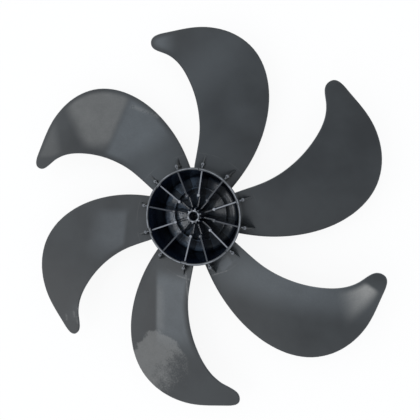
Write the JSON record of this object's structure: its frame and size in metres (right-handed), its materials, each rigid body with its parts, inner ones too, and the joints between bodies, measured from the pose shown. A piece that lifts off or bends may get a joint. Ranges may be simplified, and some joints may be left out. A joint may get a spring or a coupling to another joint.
{
  "type": "pedestal fan blade",
  "caption": "One-piece moulded fan impeller: swept, cambered blades on a ribbed hub cup that is open to the rear, with a blind boss for the motor shaft.",
  "frame": {"origin": "on the shaft axis, at the flat front face of the hub on which the part lies", "axes": "+Z along the shaft axis from the front face to the open rear, +Y up in the picture, +X to the right"},
  "size_m": [0.3398, 0.3592, 0.038],
  "materials": {
    "dark_plastic": "satin, used, with light scuffs and dust"
  },
  "bodies": {
    "root": {"fan_blade": "dark_plastic"}
  },
  "joints": []
}
